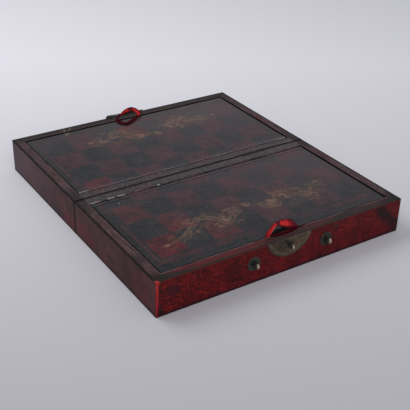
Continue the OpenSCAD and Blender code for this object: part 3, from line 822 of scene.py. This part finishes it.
def ribbon(name, half, rows, base, lean, crown, material, tails=True):
    """Satin ribbon between two edges. rows has (x, height, depth) of its outer edge and the same of its
    inner edge, in a plane through base (y, z) that leans back by lean degrees; crown bows it in mm.
    Its two tails go down through the gap beside the lid and under the board."""
    sign = -1 if half == "front" else 1
    sin, cos = math.sin(math.radians(lean)), math.cos(math.radians(lean))
    place = lambda x, h, d: (x, base[0] + h * sin - d * cos, base[1] + h * cos + d * sin)
    controls = [place(*row[:3]) + place(*row[3:]) for row in rows]
    pieces = [satin_strip(name, half, controls, crown, material, loose=not tails)]
    if not tails:
        return pieces
    # How far the tails go from the gap, and their height
    course = (0, Z_LID - 1.6), (0, Z_UNDER + 1.6), (1.6, Z_UNDER - 0.3), (5, Z_UNDER - 0.3)
    for side, end in (("left", 0), ("right", -1)):
        a, b = controls[end][0], controls[end][3]
        drop = [controls[end]]
        drop += [(a, base[0] - sign * off, z, b, base[0] - sign * off, z) for off, z in course]
        pieces.append(satin_strip(f"{name}_tail_{side}", half, drop, 0, material, 24, loose=False))
    return pieces


FRONT_LOOP = ribbon("front_ribbon_loop", "front", [
    (-26.4, 0.3, 0.4, -15.8, 0.3, -0.3), (-25.4, 2.8, 0.7, -13.8, 2.2, -0.6), (-22.9, 5.8, 0.8, -12.2, 3.8, -0.7),
    (-18.9, 8.8, 0.8, -10.2, 5.4, -0.8), (-14.4, 11.8, 0.8, -6.4, 7.9, -0.6), (-9.4, 14, 0.2, -3.5, 9.4, 0.2),
    (-3, 14.6, -1.4, -1.6, 8, 1.4), (4.6, 14.8, -0.4, 2.2, 6, 0.8), (10.4, 14, -0.4, 6.6, 3.6, 1),
    (15.3, 12.6, -0.4, 11.2, 2.2, 1), (19.1, 9.8, -0.4, 15.8, 1.4, 0.8), (21.8, 6.3, -0.2, 18.8, 1, 0.4),
    (23.6, 2.8, 0, 20.6, 0.6, 0.1), (24.2, 0.3, 0.1, 20.8, 0.2, 0)],
    (-Y_GAP, Z_LID), 24, -0.6, "front_satin")
FRONT_UNDER = ribbon("front_ribbon_under", "front", [
    (-17.5, 47.35, 190.4, -19, 47.35, 191.7), (-11, 47.5, 190.4, -13, 47.4, 195.2),
    (-3, 47.6, 190.4, -4.4, 47.4, 195.9), (5, 47.6, 190.4, 3.9, 47.4, 195.9),
    (15.8, 47.6, 190.4, 12.5, 47.4, 195.2), (23.3, 47.5, 190.2, 19.8, 47.4, 193),
    (29.2, 47.2, 190.1, 28.3, 47.3, 191.8), (34.6, 46.9, 190, 33.7, 47.1, 191.2)],
    (0, 0), 0, -0.35, "shaded_under_satin", tails=False)
BACK_LOOP = ribbon("back_ribbon_loop", "back", [
    (-23.4, 0.3, 0.4, -18.9, 0.3, -0.4), (-22.6, 2.2, 0.8, -18.4, 1, -0.8), (-20.7, 4.5, 1.4, -16.4, 2.9, -1.2),
    (-17.1, 7, 1.8, -13.5, 5.5, -1.4), (-11.2, 10.2, 1.4, -8.7, 7.6, -1.2), (-4.9, 13.4, 0.8, -3.1, 8.5, -0.6),
    (1.5, 15.5, 0.2, 2, 8.7, 0.2), (8.1, 15.7, -0.2, 6.8, 8.3, 0.6), (14, 13.5, -0.2, 10.1, 7, 1),
    (18.3, 9.6, 0.4, 11.6, 4.6, 1.6), (21.6, 5.4, 1.4, 12, 2.4, 2.2), (21.4, 2.4, 2.6, 12.6, 1.2, 2.6),
    (20, 0.8, 1.6, 13.4, 0.7, 1.6), (19.6, 0.3, 0, 13.8, 0.3, 0)],
    (Y_GAP, Z_LID), 27, -0.6, "back_satin")
BACK_UNDER = ribbon("back_ribbon_under", "back", [
    (-20.5, 46.2, -189.8, -16, 46.2, -190.1), (-21.9, 46.6, -184, -15.2, 46.6, -186.5),
    (-21.5, 46.7, -176, -14, 46.8, -181), (-16.5, 46.7, -169.2, -11, 46.8, -178.4),
    (-9, 46.7, -169.6, -5.5, 46.8, -180.2), (-0.5, 46.7, -174.6, 0.8, 46.8, -183.8),
    (6, 46.7, -179, 7, 46.7, -187.4), (11, 46.5, -184, 11, 46.5, -189.2),
    (15.5, 46.2, -188.4, 14.5, 46.2, -190.1)],
    (0, 0), 0, 0.25, "shaded_under_satin", tails=False)
for loop, low in ((FRONT_LOOP[0], Z_LID), (FRONT_UNDER[0], Z_RIM), (BACK_UNDER[0], Z_LID)):
    low * MM
    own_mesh(loop)
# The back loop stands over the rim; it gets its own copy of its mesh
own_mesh(BACK_LOOP[0])
for half, pieces in (("front", FRONT_LOOP), ("back", BACK_LOOP)):
    for piece in pieces:
        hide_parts(f"{half}_ribbon")


# ---- small marks

def low_solid(name, outline, put, height, material, ride):
    """Low prism over an outline; put(a, b, h) is its point at height h over the face"""
    verts = [put(a, b, h) for h in (-0.3, height) for a, b in outline]
    return new_object(name, verts, tube(2, len(outline)), material, smooth=False, ride=ride)


def on_level(level):
    return lambda a, b, h: (a, b, level + h)


def chip_material(name, light, dark, level=0.2):
    s = Shade(name)
    grit = s.noise(0.8, 3, 0.6, 95)
    return s.finish(s.coats(dark, (grit.step(0.4, 0.62), light)), 0.6, grit, 0.1, level)


def blob(x, y, rx, ry, seed):
    """Uneven round outline"""
    rnd = random.Random(seed)
    angles = [2 * math.pi * k / 14 for k in range(14)]
    spread = [rnd.uniform(0.78, 1.12) for _ in angles]
    return [(x + rx * r * math.cos(a), y + ry * r * math.sin(a)) for a, r in zip(angles, spread)]


def bead(name, x, z, radius, tube_radius, squeeze, material):
    """Round bead on the front face"""
    steps, sides = 40, 8
    verts = []
    for k in range(steps):
        for i in range(sides):
            r, out = polar(radius, 0, tube_radius, 2 * math.pi * i / sides)
            across, up = polar(x, z, r, 2 * math.pi * k / steps)
            verts.append((across, squeeze * out - Y_OUT, up))
    new_object(name, verts, tube(steps, sides, closed=True), material, ride="front_tray")


CHIP = chip_material("light_chip", (400, 380, 350), (220, 190, 160))
RUST = chip_material("rusty_ring", (85, 40, 26), (20, 12, 10))
GAP_SHADOW = chip_material("ribbon_gap_shadow", (8, 8.5, 7.5), (3.5, 4.5, 3.5), 0)
SLIVER = chip_material("bare_sliver", (190, 145, 118), (85, 60, 50))
low_solid("board_chip", blob(-132.8, -31, 0.6, 1.1, 5), on_level(Z_LID), 0.12, CHIP, "front_lid")
low_solid("board_chip_small", blob(22, -176, 0.5, 0.7, 8), on_level(Z_LID), 0.1, CHIP, "front_lid")
SLIVER_LOW, SLIVER_HIGH = 181, 199.5
for part, ride, floor, low, high in (("lid", "back_lid", Z_LID, SLIVER_LOW, Y_LID_OUT - 0.2),
                                     ("rim", "back_tray", Z_RIM, Y_WALL + 0.2, SLIVER_HIGH)):
    for side, foot, end in (("left", -106.4, -102.4), ("right", -105.2, -91.6)):
        middle = (low + high) / 2
        outline = [(foot + (end - foot) * (y - SLIVER_LOW) / (SLIVER_HIGH - SLIVER_LOW) + off, y + lift)
                   for off, y, lift in ((-0.8, low, 0), (0.8, low, 0), (1.1, middle, 0), (0.7, high, 0),
                                        (-0.7, high, 0), (-0.7, middle, 0.6))]
        low_solid(f"sliver_{part}_{side}", outline, on_level(floor), 0.14, SLIVER, ride)
# A dark matt patch on the front board inside the ribbon loop: a painted shadow of the ribbon over the gap
low_solid("ribbon_gap_shadow", [(-15, -189.2), (-10, -184.5), (-4, -181.6), (4, -180.6), (11, -182), (17, -186),
                       (18, -189.2)], on_level(Z_LID), 0.08, GAP_SHADOW, "front_lid")
# A dark wedge on the left face along the seam: a painted shade for the seam gap, wider at the bottom where the
# halves stand open
rag = value_noise(77)
edge_line = [(-(2.7 + 1.8 * (1 - k / 30) ** 2 + 0.45 * rag(k * 0.9)), 1.2 + 43.6 * k / 30) for k in range(31)]
low_solid("seam_gap_shadow", [(-1.1, 44.8), (-1.1, 1.2)] + edge_line, lambda a, b, h: (-HALF_X - h, a, b), 0.06,
          MATERIALS["crack_and_shade"], "front_tray")
bead("nail_ring", 70, 41.4, 3.4, 0.45, 0.7, RUST)
bead("nail_head", 70.2, 41.2, 0.55, 0.55, 0.6, RUST)


# ---- dragons

def gold_material():
    """Thin gold paint, mostly worn away, so that the board shows through its strokes"""
    s = Shade("worn_gold")
    color, mottle, _ = chequer(s)
    thin = s.noise(11, 4, 0.65, 101, warp=0.4)
    grit = s.noise(1.1, 2, 0.5, 102)
    tone = s.coats((175, 120, 76), (s.noise(16, 2, 0.5, 103).step(0.4, 0.6), (220, 118, 68)))
    color = s.coats(color, ((thin * 0.75 + grit * 0.5).step(0.46, 0.78) * 0.64 + 0.06, tone))
    return s.finish(color, 0.16 + grit * 0.22, grit * 0.5 + mottle * 0.2, 0.06, 0.28, 0.1)


class Brush:
    """Collects strokes of raised paint as closed prisms on a lid, drawn in a figure's own plane"""

    def __init__(self, seed):
        self.verts, self.faces = [], []
        self.random = random.Random(seed)

    def stroke(self, points, start, end, middle=None):
        """Tapered stroke through points; widths in mm at its start, end and middle"""
        middle = max(start, end) if middle is None else middle
        count = max(4, 3 * len(points))
        line = [self.place(*p) for p in catmull(points, count)]
        lift = self.random.uniform(0.07, 0.13)
        self.faces += tube(count, 4, first=len(self.verts))
        for k, (x, y) in enumerate(line):
            ax, ay = line[max(k - 1, 0)]
            bx, by = line[min(k + 1, count - 1)]
            size = math.hypot(bx - ax, by - ay) or 1
            t = k / (count - 1)
            wide = (start * (1 - t) + end * t) + (middle - (start + end) / 2) * 4 * t * (1 - t)
            nx, ny = -(by - ay) / size * wide / 2, (bx - ax) / size * wide / 2
            # The top is narrower than the foot
            for side, height in ((1, -0.05), (0.8, lift), (-0.8, lift), (-1, -0.05)):
                self.verts.append((x + side * nx, y + side * ny, Z_LID + height))

    def curl(self, x, y, radius, start, flip):
        """Spiral cloud curl that winds inward"""
        turn, width = flip * 2.2 * math.pi, 0.7
        points = [polar(x, y, radius * (1 - 0.75 * k / 11), start + turn * k / 11) for k in range(12)]
        self.stroke(points, width, width * 0.5)


# Lines of a dragon's head, forward and up in hundredths, and their widths: upper and lower jaw, mouth,
# throat, eye, two horns, two whiskers and three tufts of beard
HEAD = [
    ([(-35, 36), (5, 58), (42, 44), (72, 50), (102, 40), (112, 20), (80, 6), (40, 2)], 1.2),
    ([(-30, -36), (10, -40), (50, -46), (86, -34), (98, -16), (62, -18), (34, -6)], 1.1),
    ([(2, 12), (30, 16), (60, 20), (90, 26)], 0.8),
    ([(-5, -12), (25, -20), (55, -30)], 0.7),
    ([(20, 32), (32, 38), (42, 30), (30, 24), (20, 32)], 0.6),
    ([(5, 56), (-35, 86), (-95, 98), (-135, 120)], 1.3),
    ([(-10, 50), (-55, 66), (-105, 70), (-140, 84)], 1.1),
    ([(102, 36), (135, 66), (185, 55), (215, 20), (205, -10)], 0.7),
    ([(100, 10), (130, -16), (170, -26), (195, -60)], 0.7),
    ([(60, -40), (78, -80), (60, -115)], 0.8),
    ([(40, -42), (46, -80), (25, -105)], 0.8),
    ([(20, -40), (16, -74), (-5, -95)], 0.7),
]


def draw_dragon(brush, spine):
    """A long dragon along spine, tail to head: body, scales, fins, four legs, mane and clouds"""
    rnd = brush.random
    line = catmull(spine, 201)
    low, high = min(p[1] for p in spine) - 9, max(p[1] for p in spine) + 9

    def wave(s):
        k = min(199.999, max(0, s * 200))
        a, b = line[int(k)], line[int(k) + 1]
        return tuple(p + (q - p) * (k - int(k)) for p, q in zip(a, b))

    girth = lambda s: 1 + 6.6 * math.sin(math.pi * min(1, s * 0.62 + 0.04)) ** 1.3

    def frame_at(s):
        (x0, y0), (x1, y1) = wave(min(0.99, s - 0.01)), wave(max(0.01, s + 0.01))
        size = math.hypot(x1 - x0, y1 - y0)
        return *wave(s), (x1 - x0) / size, (y1 - y0) / size

    def at(s, across, along=0):
        x, y, tx, ty = frame_at(s)
        return x + tx * along - ty * across, y + ty * along + tx * across

    steps = [k / 40 for k in range(41)]
    for across, *widths in ((0.5, 0.5, 1, 1.1), (-0.5, 0.5, 1, 1.1), (-0.24, 0.3, 0.7, 0.6)):
        brush.stroke([at(s, across * girth(s)) for s in steps], *widths)
    # Scales in staggered rows, and belly plates
    for k in range(4, 74):
        s = k / 74
        g = girth(s)
        shift = 0.12 if k % 2 else -0.02
        for lane in (0.32, 0.08):
            v = (lane + shift * 0.6) * g
            brush.stroke([at(s, v + 0.11 * g, -0.9), at(s, v, 0.5), at(s, v - 0.11 * g, -0.9)], 0.5, 0.4, 0.65)
        if k % 2:
            brush.stroke([at(s, -0.27 * g), at(s, -0.38 * g, 0.5), at(s, -0.48 * g, 0.2)], 0.7, 0.5)
    # Back fins
    for k in range(5, 44):
        s = k / 45
        back = 0.5 * girth(s)
        tall = 1.6 + 1.5 * math.sin(math.pi * s) + rnd.uniform(-0.3, 0.3)
        brush.stroke([at(s, back), at(s, back + tall * 0.6, -0.7), at(s, back + tall, -2)], 1, 0.3)
    # Tail fan
    x, y = wave(0)
    for k in range(6):
        a = math.pi - (k - 2.5) * 0.3
        size = 8.5 - abs(k - 2.5) * 1.2
        brush.stroke([(x + 1.5, y), polar(x, y + 0.8, size * 0.5, a), polar(x, y, size, a)], 1.3, 0.3)
    # Legs, each with four claws and an elbow tuft
    for s, side, reach in ((0.24, -1, 1), (0.36, 1, 0.9), (0.66, -1, 1.1), (0.8, 1, 1)):
        g = girth(s)
        knee = at(s, side * (0.5 * g + 4.2 * reach), -4)
        ankle = at(s, side * (0.5 * g + 7.2 * reach), 1.5)
        for off in (-0.9, 0.9):
            brush.stroke([at(s, side * 0.25 * g, off), (knee[0] + off * 0.8, knee[1]),
                          (ankle[0], ankle[1] + off * 0.4)], 1.5, 0.9, 1.2)
        for k in range(4):
            a = math.atan2(ankle[1] - knee[1], ankle[0] - knee[0]) + (k - 1.5) * 0.62
            tip = polar(*ankle, 4.4, a)
            brush.stroke([ankle, polar(*ankle, 2.6, a + 0.2), tip, polar(*tip, 1, a - side * 1.2)], 1.2, 0.3, 1)
        for k in range(3):
            brush.stroke([knee, (knee[0] - 2.6 - k, knee[1] + side * (0.6 + k * 0.8)),
                          (knee[0] - 4.8 - k * 1.2, knee[1] + side * (0.2 + k * 1.4))], 0.9, 0.2)
    # Head and mane, drawn in a frame of their own: forward and up
    hx, hy, tx, ty = frame_at(1)
    tilt = math.atan2(ty, tx) * 0.35
    size = 8.2
    spot = lambda f, u: (hx + size * (f * math.cos(tilt) - u * math.sin(tilt)),
                         hy + size * (f * math.sin(tilt) + u * math.cos(tilt)))
    for shape, wide in HEAD:
        brush.stroke([spot(f / 100, u / 100) for f, u in shape], wide, wide * 0.4)
    for k in range(11):
        u = 0.52 - 0.1 * k
        sweep = 0.3 - 0.065 * k + rnd.uniform(-0.05, 0.05)
        brush.stroke([spot(-0.22, u * 0.9), spot(-0.62, u + sweep * 0.6), spot(-1.05, u * 1.15 + sweep * 1.3),
                      spot(-1.45 + rnd.uniform(-0.2, 0.1), u * 1.35 + sweep * 1.2)], 1.1, 0.25)
    # Clouds and flames round the body
    for k in range(15):
        s = (k + 0.5) / 15
        side = 1 if k % 2 else -1
        x, y = at(s, side * (girth(s) * 0.5 + rnd.uniform(6, 10)), rnd.uniform(-3, 3))
        y = max(low, min(high, y))
        brush.curl(x, y, rnd.uniform(1.8, 3), rnd.uniform(0, 6.28), rnd.choice((1, -1)))
        brush.stroke([(x - 2.5, y - 1.2), (x - 7, y - 3), (x - 12.5, y - 7)], 0.8, 0.2)
        brush.stroke([(x - 1.5, y + 1.4), (x - 5.5, y + 0.6), (x - 10, y - 2)], 0.7, 0.2)


def draw_pearl(brush):
    """Pearl with flames, between the two heads"""
    for radius, wide in ((3.4, 0.9), (1.9, 0.8), (0.7, 0.9)):
        brush.stroke([polar(0, 0, radius, k * math.pi / 6) for k in range(13)], wide, wide)
    for k in range(7):
        a = math.radians(20 + k * 23)
        brush.stroke([polar(0, 0, 3.8, a), (6 * math.cos(a + 0.3), 6.6 * math.sin(a + 0.3)),
                      (8.6 * math.cos(a + 0.1), 9.6 * math.sin(a + 0.1))], 1.3, 0.2)


def dragons(half, seed, figures, pearl):
    """Each figure is (way, spine): way 1 where the head is on the +x side, spine in mm from tail to head"""
    brush = Brush(seed)
    up = 1 if half == "front" else -1
    for way, spine in figures:
        brush.place = lambda u, v: (way * u, up * v)
        draw_dragon(brush, [(way * x, up * y) for x, y in spine])
    brush.place = lambda u, v: (pearl[0] + u, pearl[1] + up * v)
    draw_pearl(brush)
    new_object(f"{half}_dragons", brush.verts, brush.faces, MATERIALS["gold"], smooth=False,
               ride=f"{half}_lid")


MATERIALS["gold"] = gold_material()
dragons("front", 11, [
    (1, [(-128, -146), (-106, -139), (-86, -127), (-68, -114), (-52, -122), (-41, -137), (-30, -131), (-20, -116)]),
    (-1, [(112, -110), (98, -122), (84, -135), (70, -125), (57, -110), (45, -120), (36, -134), (24, -124)])],
    (2, -116))
dragons("back", 23, [
    (1, [(-84, 141), (-70, 133), (-57, 145), (-44, 156), (-30, 147), (-18, 133), (-8, 128)]),
    (-1, [(112, 139), (96, 130), (82, 141), (68, 154), (55, 145), (45, 132), (34, 141)])],
    (13, 126))


# ---- floor, light and camera

def floor_material():
    s = Shade("studio_floor")
    # The floor grows lighter to the back and to the right: a painted light falloff
    shift = (s.x * 0.00049 + s.y * 0.0008) + 0.5
    color = s.coats((325, 321, 342), (shift.clamp(), (700, 696, 744)))
    return s.finish(color, 0.75, s.noise(1.2, 2, 0.5, 91), 0.02, 0.15)


FLOOR_REACH = 6000
floor = new_object("studio_floor", [(x * FLOOR_REACH, y * FLOOR_REACH, -0.05) for x, y in
                                    ((-1, -1), (1, -1), (1, 1), (-1, 1))],
                   [(0, 1, 2, 3)], floor_material(), smooth=False, solid=False)

world = bpy.data.worlds.new("studio")
SCENE.world = world
world.use_nodes = True
background = world.node_tree.nodes["Background"]
background.inputs["Color"].default_value = (0.95, 0.95, 1, 1)
background.inputs["Strength"].default_value = 0.5


def soft_lamp(name, place, target, size, power):
    data = bpy.data.lights.new(name, "AREA")
    data.shape, data.size, data.energy = "DISK", size, power
    lamp = put_in_scene(name, data)
    lamp.location = place
    lamp.rotation_euler = (Vector(target) - Vector(place)).to_track_quat("-Z", "Y").to_euler()


soft_lamp("back_softbox", (-0.7, 0.9, 1.5), (0, 0.1, 0), 1.3, 18)
soft_lamp("front_softbox", (-0.5, -1.3, 1.2), (0, 0, 0), 1.4, 15)

camera_data = bpy.data.cameras.new("camera")
camera_data.lens = 73.37
camera_data.sensor_width = 36
camera_data.clip_start = 0.01
camera = put_in_scene("camera", camera_data)
right = Vector((0.84028, -0.5417, 0.02239)).normalized()
ahead = Vector((0.47913, 0.72263, -0.49823)).normalized()
ahead = (ahead - right * ahead.dot(right)).normalized()
pose = Matrix((right, right.cross(ahead), -ahead)).transposed().to_4x4()
pose.translation = (-0.54045, -0.83911, 0.5631)
camera.matrix_world = pose
SCENE.camera = camera
SCENE.view_settings.view_transform = "Standard"
